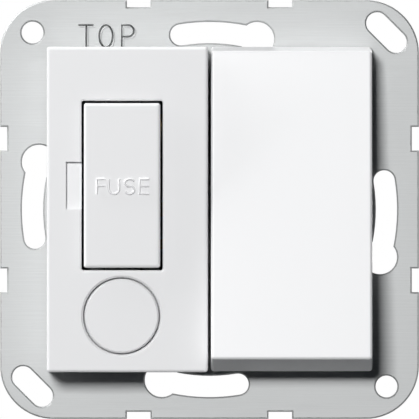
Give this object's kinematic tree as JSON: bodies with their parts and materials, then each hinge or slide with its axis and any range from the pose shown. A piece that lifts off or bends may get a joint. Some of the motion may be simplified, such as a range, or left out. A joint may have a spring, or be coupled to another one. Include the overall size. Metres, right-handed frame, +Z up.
{
  "type": "fused socket",
  "caption": "Flush fused connection unit: steel mounting plate, cover with fuse carrier and knock-out, and a large rocker switch.",
  "frame": {"origin": "middle of the mounting plate on its back face, where it meets the wall", "axes": "+X to the right and +Z up as seen from the front, +Y into the wall"},
  "size_m": [0.071, 0.0379, 0.071],
  "materials": {
    "plate_steel": "zinc plated, finely brushed",
    "cover_white": "glossy pure white moulding",
    "rocker_white": "glossy pure white moulding",
    "carrier_white": "glossy pure white moulding",
    "grey_moulding": "matt light grey moulding",
    "plunger_plastic": "natural nylon",
    "spring_steel": "drawn wire",
    "screw_steel": "zinc plated",
    "contact_brass": "stamped",
    "terminal_brass": "turned and milled",
    "ceramic": "unglazed ceramic",
    "cap_nickel": "nickel plated"
  },
  "bodies": {
    "base": {"mounting_plate": "plate_steel", "front_carrier": "grey_moulding", "rear_housing": "grey_moulding", "housing_screws": "screw_steel", "fuse_cover": "cover_white", "line_fulcrum": "contact_brass", "neutral_fulcrum": "contact_brass", "line_fixed_contact": "contact_brass", "neutral_fixed_contact": "contact_brass", "fuse_clip_top": "contact_brass", "fuse_clip_bottom": "contact_brass", "supply_line_terminal": "terminal_brass", "supply_neutral_terminal": "terminal_brass", "supply_earth_terminal": "terminal_brass", "load_line_terminal": "terminal_brass", "load_neutral_terminal": "terminal_brass", "load_earth_terminal": "terminal_brass", "terminal_screws": "screw_steel", "earth_strap": "contact_brass", "cord_clamp": "grey_moulding", "cord_clamp_screws": "screw_steel"},
    "rocker": {"rocker": "rocker_white", "rocker_cradle": "grey_moulding", "line_plunger": "plunger_plastic", "neutral_plunger": "plunger_plastic", "line_spring": "spring_steel", "neutral_spring": "spring_steel"},
    "fuse_carrier": {"fuse_carrier": "carrier_white", "fuse_tube": "ceramic", "fuse_cap_top": "cap_nickel", "fuse_cap_bottom": "cap_nickel"},
    "line_blade": {"line_blade": "contact_brass"},
    "neutral_blade": {"neutral_blade": "contact_brass"}
  },
  "joints": [
    {"name": "rocker_tilt", "type": "hinge", "parent": "base", "child": "rocker", "pos_m": [0.01375, -0.0035, 0], "axis": [1, 0, 0], "range_deg": [0, 12]},
    {"name": "fuse_carrier_pull", "type": "slide", "parent": "base", "child": "fuse_carrier", "axis": [0, -1, 0], "range_m": [0, 0.018]},
    {"name": "line_blade_rock", "type": "hinge", "parent": "base", "child": "line_blade", "pos_m": [0.0092, 0.00645, 0], "axis": [1, 0, 0], "range_deg": [-18, 0]},
    {"name": "neutral_blade_rock", "type": "hinge", "parent": "base", "child": "neutral_blade", "pos_m": [0.0183, 0.00645, 0], "axis": [1, 0, 0], "range_deg": [-18, 0]}
  ],
  "couplings": [
    {"joint": "line_blade_rock", "follows": "rocker_tilt", "ratio": -1.5},
    {"joint": "neutral_blade_rock", "follows": "rocker_tilt", "ratio": -1.5}
  ]
}
